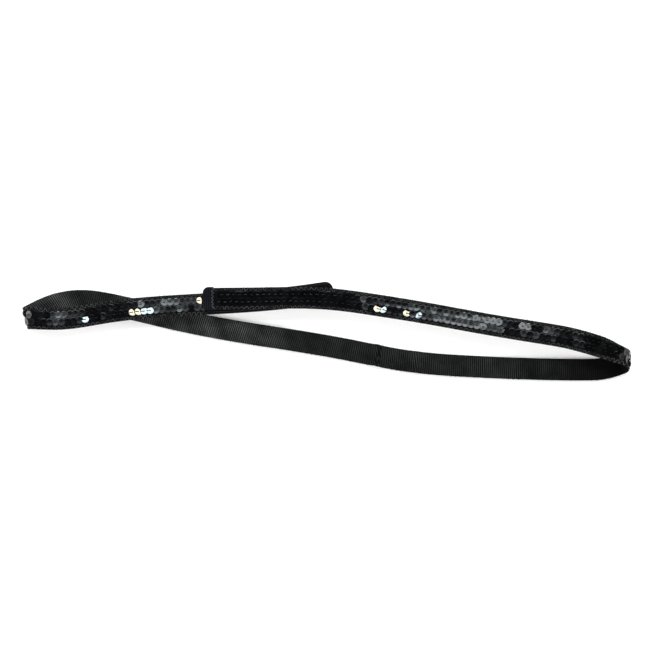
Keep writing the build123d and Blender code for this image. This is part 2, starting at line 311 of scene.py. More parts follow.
def eased(values, reach):
    """Values along the course, averaged over a bell-shaped window of the given reach."""
    width = max(1, round(reach / course_step))
    bell = np.hanning(2 * width + 3)[1:-1]
    bell /= bell.sum()
    padded = np.pad(values, [(width, width), (0, 0)], mode="edge")
    padded[:width] = 2 * values[0] - values[width:0:-1]
    padded[len(values) + width :] = 2 * values[-1] - values[-2 : -width - 2 : -1]
    return np.stack([np.convolve(padded[:, i], bell, "valid") for i in range(values.shape[1])], 1)


course = eased(course, 1.5 * MM)

# Two soft buckles stand across the lower run, where the doubled band was pressed together, and one
# low swell.  Each is a bell: its place along X, its rise and its reach, in millimetres.
buckle_x = 23.6 * MM
high_buckle = (23.2, 1.6, 1.9)
crease_in_it = (23.9, -1.0, 0.6)
low_buckle = (41.0, 0.5, 1.3)
swell = (-20.0, 0.25, 5.0)
on_table = outward[:, 2] < -0.99
for place, rise, reach in (high_buckle, crease_in_it, low_buckle, swell):
    away = (course[:, 0] / MM - place) / reach
    course[:, 2] += on_table * rise * MM * np.exp(-(away**2))
heading = np.gradient(course, axis=0)
heading /= np.linalg.norm(heading, axis=1)[:, None]
across = eased(np.cross(outward, heading), 2.5 * MM)
across -= heading * (across * heading).sum(1)[:, None]
across /= np.linalg.norm(across, axis=1)[:, None]
outward = np.cross(heading, across)

# The band doesn't lie dead flat: it rolls a few degrees from side to side, and arches across.
loose = eased(np.where(outward[:, 2:] > 0.99, 1.0, 0.0), 8 * MM)
roll = loose * np.radians(
    2.2 * np.sin(run / (31 * MM) + 0.6) + 1.6 * np.sin(run / (13.7 * MM) + 2.0)
)[:, None]
across, outward = (
    across * np.cos(roll) + outward * np.sin(roll),
    outward * np.cos(roll) - across * np.sin(roll),
)
arch = 6.0  # times the square of the offset, in metres, gives how far the band falls there

# The middles of the two folds.  Just before the right one the band's far edge curls in, by a share
# of the offset.
right_middle = (right_fold_from + right_fold_to) / 2
left_middle = (left_fold_from + left_fold_to) / 2
curl_middle = right_middle - 5 * MM
curl_reach = 7 * MM
curl_share = 0.38

# The turned end of the tab reaches a little past the band's start, so the course is led on there.
lead = 3 * MM
course = np.concatenate([[course[0] - heading[0] * lead], course])
heading, across, outward = (np.concatenate([v[:1], v]) for v in (heading, across, outward))
run = np.concatenate([[-lead], run])


def on_band(distance, offset, height):
    """Places on the band: a distance along the course, an offset across it and a height over
    the face where ribbon and tape meet.  The height falls away with the square of the offset, and
    the curl draws the far side in by a bell-shaped share."""
    distance, offset, height = np.broadcast_arrays(distance, offset, height)
    bell = np.exp(-(((distance - curl_middle) / curl_reach) ** 2))
    offset = np.where(offset > 0, offset * (1 - curl_share * bell), offset)
    parts = []
    for i in range(3):
        w = np.interp(distance, run, across[:, i])
        n = np.interp(distance, run, outward[:, i])
        c = np.interp(distance, run, course[:, i])
        parts.append(c + w * offset + n * (height - arch * offset**2))
    return np.stack(parts, axis=-1)


def directions(distance):
    """Heading, across and outward unit vectors of the band at distances along it."""
    return [
        np.stack([np.interp(distance, run, v[:, i]) for i in range(3)], axis=-1)
        for v in (heading, across, outward)
    ]


def new_piece(name, corners, faces, finish, uv):
    """A mesh object from arrays of corners, four-sided faces and each corner's place in the
    finish's pattern.  If the closed shape's signed volume is negative its faces are turned
    round, so that they point outwards."""
    a, b, c, d = (corners[faces[:, i]] for i in range(4))
    volume = (a * np.cross(b, c)).sum() + (a * np.cross(c, d)).sum()
    if volume < 0:
        faces = faces[:, ::-1]
    mesh = bpy.data.meshes.new(name)
    mesh.vertices.add(len(corners))
    mesh.vertices.foreach_set("co", corners.astype(np.float32).ravel())
    mesh.loops.add(faces.size)
    mesh.loops.foreach_set("vertex_index", faces.astype(np.int32).ravel())
    mesh.polygons.add(len(faces))
    starts = np.arange(0, faces.size, faces.shape[1], dtype=np.int32)
    mesh.polygons.foreach_set("loop_start", starts)
    mesh.update(calc_edges=True)
    mesh.polygons.foreach_set("use_smooth", np.ones(len(faces), bool))
    layer = mesh.uv_layers.new(name="BandUV")
    layer.data.foreach_set("uv", uv[faces.ravel()].astype(np.float32).ravel())
    mesh.materials.append(finish)
    mesh.validate()
    piece = bpy.data.objects.new(name, mesh)
    bpy.context.scene.collection.objects.link(piece)
    return piece


def tube_faces(rows, columns):
    """Quads of a grid of rows whose columns close round, with each end closed by a fan of quads
    folded across the middle."""
    i, j = np.meshgrid(np.arange(rows - 1), np.arange(columns), indexing="ij")
    k = (j + 1) % columns
    here, above = i * columns, (i + 1) * columns
    sides = np.stack([here + j, here + k, above + k, above + j], -1)
    half = columns // 2
    a = np.arange(half - 1)
    cap = np.stack([a, columns - 1 - a, columns - 2 - a, a + 1], -1)
    end = (rows - 1) * columns + cap[:, ::-1]
    return np.concatenate([sides.reshape(-1, 4), cap, end])


def carried(name, distance, offset, height, finish, pattern=None):
    """A closed profile carried along the band: arrays of offset and height, one row for each
    distance, one column for each corner of the profile.  pattern is the distance that the
    finish goes by, where that isn't the plain distance."""
    place = on_band(distance[:, None], offset, height)
    rows, columns = place.shape[:2]
    pattern = distance[:, None] if pattern is None else pattern
    uv = np.stack([np.broadcast_to(pattern, offset.shape), offset], -1) / MM
    faces = tube_faces(rows, columns)
    return new_piece(name, place.reshape(-1, 3), faces, finish, uv.reshape(-1, 2))


def node(tree, kind, **settings):
    """A shader node with some of its settings and sockets filled in."""
    made = tree.nodes.new(kind)
    for key, value in settings.items():
        if hasattr(made, key) and key not in made.inputs:
            setattr(made, key, value)
        else:
            made.inputs[key.replace("_", " ")].default_value = value
    return made


def fabric_finish(name, dark, light, thread_scale, roughness, sheen, bump=0.3):
    """Woven yarn: half of a fine noise, stretched along the yarn, and half of a broad one mix a
    dark and a light tone, and the fine one lifts the surface.  thread_scale is how many streaks
    there are per millimetre along and across."""
    finish = bpy.data.materials.new(name)
    finish.use_nodes = True
    tree = finish.node_tree
    shader = tree.nodes["Principled BSDF"]
    shader.inputs["Roughness"].default_value = roughness
    shader.inputs["Sheen Weight"].default_value = sheen
    shader.inputs["Sheen Roughness"].default_value = 0.45
    shader.inputs["Specular IOR Level"].default_value = 0.04
    where = node(tree, "ShaderNodeUVMap", uv_map="BandUV")
    stretch = node(tree, "ShaderNodeMapping", Scale=(*thread_scale, 1))
    streak = node(tree, "ShaderNodeTexNoise", Scale=1.0, Detail=3.0, Roughness=0.6)
    broad = node(tree, "ShaderNodeTexNoise", Scale=0.12, Detail=2.0)
    tone = tone_ramp(tree, dark, light, 0.32, 0.72)
    half_streak = node(tree, "ShaderNodeMath", operation="MULTIPLY")
    half_broad = node(tree, "ShaderNodeMath", operation="MULTIPLY")
    half_streak.inputs[1].default_value = 0.5
    half_broad.inputs[1].default_value = 0.5
    total = node(tree, "ShaderNodeMath", operation="ADD")
    lift = node(tree, "ShaderNodeBump", Strength=bump, Distance=0.00005)
    link = tree.links.new
    link(where.outputs["UV"], stretch.inputs["Vector"])
    link(stretch.outputs["Vector"], streak.inputs["Vector"])
    link(where.outputs["UV"], broad.inputs["Vector"])
    link(streak.outputs["Fac"], half_streak.inputs[0])
    link(broad.outputs["Fac"], half_broad.inputs[0])
    link(half_streak.outputs[0], total.inputs[0])
    link(half_broad.outputs[0], total.inputs[1])
    link(total.outputs[0], tone.inputs["Fac"])
    link(tone.outputs["Color"], shader.inputs["Base Color"])
    link(streak.outputs["Fac"], lift.inputs["Height"])
    link(lift.outputs["Normal"], shader.inputs["Normal"])
    return finish


def tone_times_wear_and_light(tree, tone):
    """The tone of a finish times the piece's own attribute there, which holds wear and painted light
    and shade.
    """
    wear_and_light_tone = node(tree, "ShaderNodeAttribute", attribute_name="wear_and_light_tone")
    faded = node(tree, "ShaderNodeMix", data_type="RGBA", blend_type="MULTIPLY")
    faded.inputs["Factor"].default_value = 1.0
    first_colour, second_colour, mixed_colour = faded.inputs[6], faded.inputs[7], faded.outputs[2]
    tree.links.new(tone.outputs["Color"], first_colour)
    tree.links.new(wear_and_light_tone.outputs["Fac"], second_colour)
    tree.links.new(mixed_colour, tree.nodes["Principled BSDF"].inputs["Base Color"])


def ribbed_finish(name, pitch, painted_valley_shade, painted_crest_highlight):
    """Grosgrain: a cosine wave along the band, of the ribs' own pitch, times the yarns' streaks,
    runs from painted shade in the valleys to a painted highlight on the crests."""
    finish = fabric_finish(name, painted_valley_shade, painted_crest_highlight, (1.3, 2.6), 0.62, 0.02, bump=0.6)
    tree = finish.node_tree
    tone = next(n for n in tree.nodes if n.type == "VALTORGB")
    tone.color_ramp.elements[0].position = 0.28
    tone.color_ramp.elements[1].position = 0.55
    yarns = tone.inputs["Fac"].links[0].from_socket
    # The rib wave paints shade into the valleys and a highlight onto the crests.
    split = node(tree, "ShaderNodeSeparateXYZ")
    turns = node(tree, "ShaderNodeMath", operation="MULTIPLY")
    turns.inputs[1].default_value = 2 * math.pi / (pitch / MM)
    wave = node(tree, "ShaderNodeMath", operation="COSINE")
    rib = node(tree, "ShaderNodeMapRange", From_Min=-1.0, To_Min=0.25)
    product = node(tree, "ShaderNodeMath", operation="MULTIPLY")
    where = next(n for n in tree.nodes if n.type == "UVMAP")
    tree.links.new(where.outputs["UV"], split.inputs["Vector"])
    tree.links.new(split.outputs["X"], turns.inputs[0])
    tree.links.new(turns.outputs[0], wave.inputs[0])
    tree.links.new(wave.outputs[0], rib.inputs["Value"])
    tree.links.new(rib.outputs["Result"], product.inputs[0])
    tree.links.new(yarns, product.inputs[1])
    tree.links.new(product.outputs[0], tone.inputs["Fac"])
    tone_times_wear_and_light(tree, tone)
    return finish


def give_wear_and_painted_light(piece, wear_and_painted_light):
    """How pale each corner of a piece is, from wear and from painted light and shade, for its finish
    to read: 0 is black, 1 is the finish's own tone, and more is paler still."""
    layer = piece.data.attributes.new("wear_and_light_tone", "FLOAT", "POINT")
    layer.data.foreach_set("value", np.asarray(wear_and_painted_light).astype(np.float32).ravel())


hem_rib_pitch = 0.85 * MM
# In both ribbed finishes the valley tone is painted shade and the crest tone a painted highlight.
hem_grosgrain = ribbed_finish(
    "hem_grosgrain", hem_rib_pitch, (0.0008, 0.0009, 0.0014), (0.009, 0.011, 0.017)
)
grosgrain = ribbed_finish("grosgrain", rib_pitch, (0.0008, 0.0010, 0.0010), (0.066, 0.071, 0.069))


def rounded_end(distance, end, radius, half):
    """Half width near a cut end: a quarter circle of the given radius at each corner.  The circle
    stops just short of closing, so that the end keeps its faces."""
    into = np.clip(radius - np.abs(distance - end), 0, radius)
    least = 0.02 * radius
    return half - radius + np.sqrt(np.maximum(radius**2 - into**2, least**2))


# The band is made in three parts, each of which crosses one joint.
right_arm_middle = 120 * MM
lower_run_middle = right_fold_to + 112 * MM
parts = {
    "tab": (0.0, right_arm_middle),
    "right_fold": (right_arm_middle, lower_run_middle),
    "left_fold": (lower_run_middle, band_end),
}


def moves_with(piece, part):
    """A piece of the band has its place baked into its mesh, whatever its part; it is not tied to a
    joint.
    """
    if part == "tab":
        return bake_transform(piece)
    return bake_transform(piece)


# Painted light and shade along the ribbon: its tone is painted paler where it catches more light
# and darker where the arms' shade falls; distances in millimetres from the right fold, and shares
# of the full tone.  It has also been pulled askew: the slant of its ribs, as a share.
painted_light_along = (
    [-20, 0, 18, 30, 60, 150, 172, 205, 215, 232, 243, 256, 270, 290],
    [0.3, 0.03, 0.08, 0.22, 0.42, 0.34, 1.05, 1.1, 1.5, 0.8, 0.45, 0.95, 0.95, 0.3],
)
pulled_along = (
    [0, 75, 135, 215, 262],
    [0.02, 0.08, 0.46, 0.50, 0.28],
)
across_inner = np.linspace(-1, 1, 13)
across_outer = np.linspace(1, -1, 5)
points_in_a_rib = 7


def ribbon(part, first, last):
    """The ribbon's profile is a flat oval; its inner face rises in ribs, a cosine wave along the
    band, which die out towards the woven edges.  Its tone is painted paler or darker for light and
    shade, following the table, times a product of two sine waves, and drops to a painted dark line
    of shade in the buckle's crease."""
    count = round((last - first) / (rib_pitch / points_in_a_rib)) + 1
    s = np.linspace(first, last, count)
    t = across_inner
    all_round = np.concatenate([across_inner, across_outer])
    along_run = (s - right_fold_to) / MM
    slant = np.interp(along_run, *pulled_along)[:, None] * ribbon_half * all_round
    half = np.full(count, ribbon_half)
    half = np.minimum(half, rounded_end(s, band_end, 3.6 * MM, ribbon_half))
    half = np.minimum(half, rounded_end(s, 0.0, 2.2 * MM, ribbon_half))
    wobble = 0.10 * MM * np.sin(s / (2.3 * MM)) + 0.06 * MM * np.sin(s / (0.83 * MM) + 1)
    pattern = (s + wobble)[:, None] - slant
    wave = 0.5 + 0.5 * np.cos(2 * np.pi * pattern[:, : len(t)] / rib_pitch)
    fade = np.clip((1 - np.abs(t)) / 0.07, 0, 1) ** 0.5
    inner = -ribbon_thickness * (0.65 + 0.35 * fade) - rib_height * (wave - 0.5) * fade
    outer = -0.02 * MM * np.ones((count, len(across_outer)))
    offset = all_round[None] * half[:, None]
    height = np.concatenate([inner, outer], axis=1)
    piece = carried(f"ribbon_{part}", s, offset, height, grosgrain, pattern)
    # Painted light and shade along the ribbon, from the table, times a mottle of its own.
    mottle_and_painted_light = np.interp(along_run, *painted_light_along)
    mottle = 1 + 0.16 * np.sin(s / (3.1 * MM)) * np.sin(s / (7.7 * MM) + 1)
    # Painted shade: the ribbon is painted dark in the buckle's crease.
    from_buckle = (on_band(s, 0.0, 0.0)[:, 0] - buckle_x) / (0.6 * MM)
    crease = np.exp(-(from_buckle**2)) * (s > right_fold_to)
    mottle_and_painted_light = mottle_and_painted_light * mottle * (1 - 0.85 * crease)
    give_wear_and_painted_light(piece, np.broadcast_to(mottle_and_painted_light[:, None], offset.shape))
    return piece


ribbon_nodes = {
    "tab": ["grosgrain_tab"],
    "right_fold": ["grosgrain_right_arm", "grosgrain_lower_run"],
    "left_fold": ["grosgrain_left_arm"],
}
for part, (first, last) in parts.items():
    piece = ribbon(part, first, last)
    moves_with(piece, part)
    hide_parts(*ribbon_nodes[part])

# ---------------------------------------------------------------------------------------------
# The sequin tape: a thin black knitted tape behind the sequins, as wide as the ribbon, sewn to
# its outer face.  It stops short of the left arm's end, where the strip of loops is instead.
# ---------------------------------------------------------------------------------------------
tape_thickness = 0.25 * MM
tape_half = 5.0 * MM
tape_end = band_end - 57 * MM
tape_knit = fabric_finish(
    "tape_knit", (0.0010, 0.0010, 0.0012), (0.006, 0.006, 0.007), (2.2, 3.5), 0.85, 0.03, bump=0.5
)


def tape(part, first, last):
    """The tape's profile is a flat oval, its face falling with the sixth power of the offset, and
    its edges wander by a tenth of a millimetre, in a sum of three waves along the band."""
    s = np.linspace(first, last, round((last - first) / (0.4 * MM)) + 1)
    wander = 0.05 * np.sin(s / (1.1 * MM)) + 0.04 * np.sin(s / (0.47 * MM) + 2)
    wander += 0.03 * np.sin(s / (4.7 * MM) + 1)
    straight = tape_half - 0.08 * MM + wander * MM
    half = np.minimum(straight, rounded_end(s, 0, 1.2 * MM, tape_half))
    t = np.linspace(-1, 1, 9)
    offset = np.concatenate([t, t[::-1]])[None] * half[:, None]
    dome = 1 - 0.35 * np.abs(t) ** 6
    height = np.concatenate([0.01 * MM * np.ones(len(t)), tape_thickness * dome[::-1]])
    height = np.broadcast_to(height, offset.shape)
    return carried(f"tape_{part}", s, offset, height, tape_knit)


tape_nodes = {
    "tab": ["sequin_tape_tab"],
    "right_fold": ["sequin_tape_right_arm", "sequin_tape_lower_run"],
    "left_fold": ["sequin_tape_left_arm"],
}
taped = {part: (first, min(last, tape_end)) for part, (first, last) in parts.items()}
for part, (first, last) in taped.items():
    piece = tape(part, first, last)
    moves_with(piece, part)
    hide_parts(*tape_nodes[part])

# ---------------------------------------------------------------------------------------------
# The sequins: punched black film discs 3.5 mm across, slightly cupped, strung in two rows and
# overlapping like scales.  On the left arm they overlap the other way.
# ---------------------------------------------------------------------------------------------
sequin_radius = 1.75 * MM
sequin_hole = 0.33 * MM
sequin_film = 0.09 * MM
sequin_cup = 0.032 * MM
sequin_pitch = 2.7 * MM
row_offset = 1.66 * MM
scale_lean = math.radians(6.5)
sequin_lift = 0.27 * MM  # the height of a sequin's middle over the tape
disc_sides = 13
hem_edge = 4.6 * MM
chance = np.random.default_rng(11)

black_film = bpy.data.materials.new("black_film")
black_film.use_nodes = True
tree = black_film.node_tree
shader = tree.nodes["Principled BSDF"]
shader.inputs["IOR"].default_value = 1.52
shade = node(tree, "ShaderNodeAttribute", attribute_name="shade")
where = node(tree, "ShaderNodeTexCoord")
scuffs = node(tree, "ShaderNodeTexNoise", Scale=2600.0, Detail=4.0, Roughness=0.7)
film_tone = tone_ramp(tree, (0.0005, 0.0005, 0.0006), (0.0026, 0.0028, 0.0031))
film_tone.color_ramp.elements.new(0.55).color = (0.0013, 0.0013, 0.0015, 1)
gloss = node(tree, "ShaderNodeMapRange", From_Min=0.3, From_Max=0.75, To_Min=0.07, To_Max=0.19)
dents = node(tree, "ShaderNodeBump", Strength=0.12, Distance=0.00003)
tree.links.new(shade.outputs["Fac"], film_tone.inputs["Fac"])
tree.links.new(film_tone.outputs["Color"], shader.inputs["Base Color"])
tree.links.new(where.outputs["Object"], scuffs.inputs["Vector"])
tree.links.new(scuffs.outputs["Fac"], gloss.inputs["Value"])
tree.links.new(gloss.outputs["Result"], shader.inputs["Roughness"])
tree.links.new(scuffs.outputs["Fac"], dents.inputs["Height"])
tree.links.new(dents.outputs["Normal"], shader.inputs["Normal"])


def strung(first, last):
    """Distances and rows of the sequins in a stretch: both rows at the same even pitch, the two
    staggered by half of it, from the first sequin beside the hem."""
    more_than_enough = 400
    rows = []
    for row in (-1, 1):
        places = (np.arange(more_than_enough) + (row > 0) / 2) * sequin_pitch + hem_edge + 1.9 * MM
        places = places[(places >= first) & (places < last)]
        rows.append(np.column_stack([places, np.full(len(places), row)]))
    return np.concatenate(rows)


def disc_grid():
    """A cupped disc, its height rising with the square of the distance from the middle: rings at
    the hole, over halfway out, just inside the rim, at the rim, which drops a little, and at the
    hole's underside.  The last ring joins the first, so the disc is closed."""
    turn = np.arange(disc_sides) * 2 * np.pi / disc_sides
    rings = [sequin_hole, 0.6 * sequin_radius, 0.93 * sequin_radius, sequin_radius, sequin_hole]
    radius = np.array(rings)
    z = sequin_cup * (radius / sequin_radius) ** 2
    rim_drop = 0.020 * MM
    z[3:] -= rim_drop, sequin_film
    x, y = radius[:, None] * np.cos(turn), radius[:, None] * np.sin(turn)
    corners = np.stack([x, y, np.broadcast_to(z[:, None], x.shape)], -1).reshape(-1, 3)
    i, j = np.meshgrid(np.arange(len(rings)), np.arange(disc_sides), indexing="ij")
    here = i * disc_sides
    next_out = (i + 1) % len(rings) * disc_sides
    k = (j + 1) % disc_sides
    faces = np.stack([here + j, next_out + j, next_out + k, here + k], -1)
    return corners, faces.reshape(-1, 4)


def leaning_frames(distance, lean, sway):
    """Unit vectors of discs on the band: lean turns them down towards the heading, sway turns
    them down towards the across direction."""
    h, w, n = directions(distance)
    lean, sway = lean[:, None], sway[:, None]
    forward = h * np.cos(lean) - n * np.sin(lean)
    leaned = n * np.cos(lean) + h * np.sin(lean)
    side = w * np.cos(sway) - leaned * np.sin(sway)
    normal = leaned * np.cos(sway) + w * np.sin(sway)
    return forward, side, normal


def keep_sharp(piece, angle):
    """Edges that turn by more than the angle, in degrees, are shaded as sharp."""
    piece.data.set_sharp_from_angle(angle=math.radians(angle))


def sequins(name, distance, row, lean, sway, tone, dish):
    """Every disc is the same grid, moved to its place on the band and turned by its own lean and
    sway; dish is how many times deeper than the plain disc it is cupped.  A disc that would pass
    through the table is lifted until it just clears it."""
    grid, faces = disc_grid()
    count = len(distance)
    centre = on_band(distance, row * row_offset, tape_thickness + sequin_lift)
    forward, side, normal = leaning_frames(distance, lean, sway)
    axes = np.stack([forward, side, normal], 1)
    corners = centre[:, None] + np.einsum("ki,nij->nkj", grid, axes)
    outwards_squared = grid[:, 0] ** 2 + grid[:, 1] ** 2
    deeper = (dish - 1)[:, None] * sequin_cup * outwards_squared / sequin_radius**2
    corners = corners + normal[:, None] * deeper[..., None]
    low = corners[..., 2].min(1)
    clear_of_table = 0.02 * MM
    corners[..., 2] += np.maximum(clear_of_table - low, 0)[:, None]
    faces = (faces[None] + np.arange(count)[:, None, None] * len(grid)).reshape(-1, 4)
    uv = np.stack([np.broadcast_to(distance[:, None], corners.shape[:2]), corners[..., 1]], -1) / MM
    piece = new_piece(name, corners.reshape(-1, 3), faces, black_film, uv.reshape(-1, 2))
    shade = piece.data.attributes.new("shade", "FLOAT", "POINT")
    shade.data.foreach_set("value", np.repeat(tone, len(grid)).astype(np.float32))
    sharp_over = 5
    keep_sharp(piece, sharp_over)
    return piece


sequin_nodes = {
    "tab": ["sequins_tab"],
    "right_fold": ["sequins_right_arm", "sequins_lower_run_resting", "sequins_lower_run_raised"],
    "left_fold": ["sequins_left_arm"],
}

# The sequins lie in patches, as handling has brushed them.  In some patches they face the soft
# light behind the table: shares of that turn, from 0 to 1, at places along each arm.  A few have
# been turned up on their own and catch a strip light: place along X, row, and the light.
facing_right = (
    [-60, 11, 17, 30, 50, 66, 71, 79, 82, 86, 89, 104, 108, 113, 117, 121],
    [0, 0, 0.60, 0.55, 0.62, 0.68, 0.80, 0.82, 0.15, 0.15, 0.50, 0.48, 0, 0.45, 0.45, 0],
)
facing_left = (
    [-138, -128, -125, -112, -109, -93, -88, -75, -72, -70, -68, -58],
    [0, 0, 0.50, 0.55, 0, 0, 0.45, 0.52, 0.75, 0.2, 0.5, 0.5],
)
turned_right = [
    (22.6, -1, warm_strip),
    (25.3, -1, cool_strip),
    (35.7, -1, warm_strip),
    (40.9, -1, cool_strip),
]
turned_left = [
    (-110.0, -1, cool_strip),
    (-88.5, -1, warm_strip),
    (-85.4, -1, warm_strip),
    (-82.6, -1, cool_strip),
    (-79.6, -1, cool_strip),
    (-57.6, 1, warm_strip),
]
# One stretch of the right arm, along X, has sequins that are cupped up to this much deeper.
deep_from, deep_to = 27 * MM, 72 * MM
deepest = 2.6
# No sequin is left under the crease of the buckle, which pinches the tape.
pinch = 3.5 * MM


def towards(target, place):
    """Unit vectors from places to a target."""
    line = np.array(target) - place
    return line / np.linalg.norm(line, axis=-1, keepdims=True)


def mirror_normal(light, place):
    """The normal of a sequin that throws a light's reflection up towards the eye: halfway
    between the directions of the two."""
    half = towards(light.location, place) + towards(camera.location, place)
    return half / np.linalg.norm(half, axis=-1, keepdims=True)


# The rows start clear of the hem and stop short of the tape's end.  Every sequin has its own small
# lean and sway, and its own share of the patch's turn.
placed = {}
for part, (first, last) in taped.items():
    row_from = hem_edge + 1.8 * MM if part == "tab" else first
    row_to = last - 1.9 * MM if part == "left_fold" else last
    distance, row = strung(row_from, row_to).T
    count = len(distance)
    distance = distance + chance.normal(0, 0.05, count) * MM
    pinched = np.abs(on_band(distance, 0.0, 0.0)[:, 0] - buckle_x) < pinch
    free = ~(pinched & (part == "right_fold") & (distance > right_fold_to))
    distance, row, count = distance[free], row[free], free.sum()
    way = np.where(distance > left_middle, -1.0, 1.0)
    lean = way * (scale_lean + np.radians(chance.normal(0, 2.0, count)))
    sway = np.radians(chance.normal(-3.0, 1.8, count) + row * 0.8)
    unevenness = chance.normal(0, 1.0, (count, 3)) * math.radians(3.0)
    whim = chance.random(count)
    place = on_band(distance, row * row_offset, 0.0)
    normal = leaning_frames(distance, lean, sway)[2]
    upper = normal[:, 2] > 0.85
    glints = np.zeros(count, bool)
    for on_arm, facing, turned in (
        (upper & (distance < right_middle), facing_right, turned_right),
        (upper & (distance > left_middle), facing_left, turned_left),
    ):
        share = on_arm * np.interp(place[:, 0] / MM, *facing)
        share = (share * (0.72 + 0.5 * whim))[:, None]
        normal = normal * (1 - share) + mirror_normal(back_soft, place) * share + unevenness * share
        for target, side, light in turned:
            away = np.abs(place[:, 0] / MM - target)
            away[(row != side) | ~on_arm] = np.inf
            nearest = away.argmin()
            if away[nearest] < sequin_pitch / MM:
                normal[nearest] = mirror_normal(light, place[nearest])
                glints[nearest] = True
    normal /= np.linalg.norm(normal, axis=1)[:, None]
    ahead, aside, up = ((normal * v).sum(1) for v in directions(distance))
    lean, sway = np.arctan2(ahead, up), np.arcsin(aside)
    placed[part] = distance, row, way, lean, sway, glints
    deep = upper & (place[:, 0] > deep_from) & (place[:, 0] < deep_to)
    dish = 1 + deepest * deep * chance.random(count)
    piece = sequins(f"sequins_{part}", distance, row, lean, sway, chance.random(count), dish)
    moves_with(piece, part)
    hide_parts(*sequin_nodes[part])

# ---------------------------------------------------------------------------------------------
# The sewing: twisted polyester thread.  A short black stitch holds each sequin by its hole, and a
# grey zigzag over each edge holds tape and ribbon together.
# ---------------------------------------------------------------------------------------------
def thread_finish(name, dark, light):
    """Two-ply thread: diagonal waves along the strand, from painted shade in the groove to a painted
    highlight on the crown.
    """
    finish = bpy.data.materials.new(name)
    finish.use_nodes = True
    tree = finish.node_tree
    shader = tree.nodes["Principled BSDF"]
    shader.inputs["Roughness"].default_value = 0.6
    shader.inputs["Specular IOR Level"].default_value = 0.15
    where = node(tree, "ShaderNodeUVMap", uv_map="BandUV")
    twist = node(tree, "ShaderNodeTexWave", bands_direction="DIAGONAL")
    twist.inputs["Scale"].default_value = 0.9
    twist.inputs["Distortion"].default_value = 0.8
    twist.inputs["Detail"].default_value = 1.0
    # The twist paints shade into each groove and a highlight onto each crown.
    groove_shade_crown_highlight = tone_ramp(tree, dark, light)
    ply = node(tree, "ShaderNodeBump", Strength=0.5, Distance=0.00003)
    tree.links.new(where.outputs["UV"], twist.inputs["Vector"])
    tree.links.new(twist.outputs["Fac"], groove_shade_crown_highlight.inputs["Fac"])
    tone_times_wear_and_light(tree, groove_shade_crown_highlight)
    tree.links.new(twist.outputs["Fac"], ply.inputs["Height"])
    tree.links.new(ply.outputs["Normal"], shader.inputs["Normal"])
    return finish


thread = thread_finish("thread", (0.016, 0.016, 0.017), (0.150, 0.153, 0.158))
black_thread = thread_finish("black_thread", (0.002, 0.002, 0.002), (0.050, 0.050, 0.052))


def strands(name, paths, radius, finish, sides=6, taper=0.0, wear_and_painted_light=1.0):
    """Round strands along many paths at once, an array of strand, point and coordinate.  Each
    ring of a strand is a circle square to its path, and taper narrows it towards both ends.
    wear_and_painted_light is how pale the thread is at each point, from wear and painted light."""
    count, points = paths.shape[:2]
    ahead = np.gradient(paths, axis=1)
    step = np.linalg.norm(ahead, axis=2, keepdims=True)
    ahead /= step
    helper = np.where(np.abs(ahead[..., 2:]) < 0.9, np.array([0, 0, 1.0]), np.array([0, 1.0, 0]))
    u = np.cross(ahead, helper)
    u /= np.linalg.norm(u, axis=2, keepdims=True)
    v = np.cross(ahead, u)
    turn = np.arange(sides) * 2 * np.pi / sides
    share = np.linspace(-1, 1, points)
    thick = radius * (1 - taper * share**4)[None, :, None, None]
    ring = u[:, :, None] * np.cos(turn)[:, None] + v[:, :, None] * np.sin(turn)[:, None]
    corners = paths[:, :, None] + ring * thick
    faces = tube_faces(points, sides)
    faces = (faces[None] + np.arange(count)[:, None, None] * points * sides).reshape(-1, 4)
    length = np.cumsum(step[..., 0], axis=1) / MM
    uv = np.stack(np.broadcast_arrays(length[:, :, None] * 4, turn / np.pi), -1)
    piece = new_piece(name, corners.reshape(-1, 3), faces, finish, uv.reshape(-1, 2))
    wear_and_painted_light = np.broadcast_to(wear_and_painted_light, (count, points))[..., None]
    give_wear_and_painted_light(piece, np.broadcast_to(wear_and_painted_light, (count, points, sides)))
    return piece


# How much the stitches show: places along X, and shares.  Elsewhere they are pulled down tight.
# Where they show, the black thread is also painted paler, as a painted highlight.
stitches_show_and_highlight = (
    [-140, -114, -104, -92, -84, -55, -50, 0, 12, 22, 100, 116, 140],
    [0.35, 0.35, 0.8, 0.8, 0.3, 0.3, 1.0, 0.9, 0.55, 0.2, 0.15, 0.5, 0.6],
)


def hole_stitches(name, distance, row, way, lean, sway, glints):
    """A stitch rises out of a sequin's hole and goes down over its film towards the overlapping
    neighbour: five points of a low arch in the sequin's own frame, lower and shorter where the
    stitch is tight, and painted darker there as shade and paler where it shows as a highlight.
    On a sequin that has been turned up, the stitch reaches its rim and is black."""
    centre = on_band(distance, row * row_offset, tape_thickness + sequin_lift)
    forward, side, normal = leaning_frames(distance, lean, sway)
    x = np.array([-0.15, 0.10, 0.45, 0.95, 1.35]) * MM
    z = np.array([-0.10, 0.13, 0.20, 0.20, 0.05]) * MM
    show = np.interp(centre[:, 0] / MM, *stitches_show_and_highlight)
    show = show * (0.35 + 0.65 * chance.random(len(row)))
    reach = np.where(glints, 1.35, 0.45 + 0.55 * show) * way
    height = np.where(glints, 1.0, 0.3 + 0.7 * show)
    aslant = chance.normal(0, 0.16, len(row))[:, None] * x
    paths = centre[:, None] + forward[:, None] * (reach[:, None] * x)[..., None]
    paths = paths + normal[:, None] * (height[:, None] * z)[..., None]
    paths = paths + side[:, None] * aslant[..., None]
    # The black thread's paleness where it shows is a painted highlight; where it is tight, painted
    # shade.
    wear_and_painted_light = np.where(glints, 0.0, show**2 * 1.5)[:, None]
    return strands(name, paths, 0.15 * MM, black_thread, wear_and_painted_light=wear_and_painted_light)


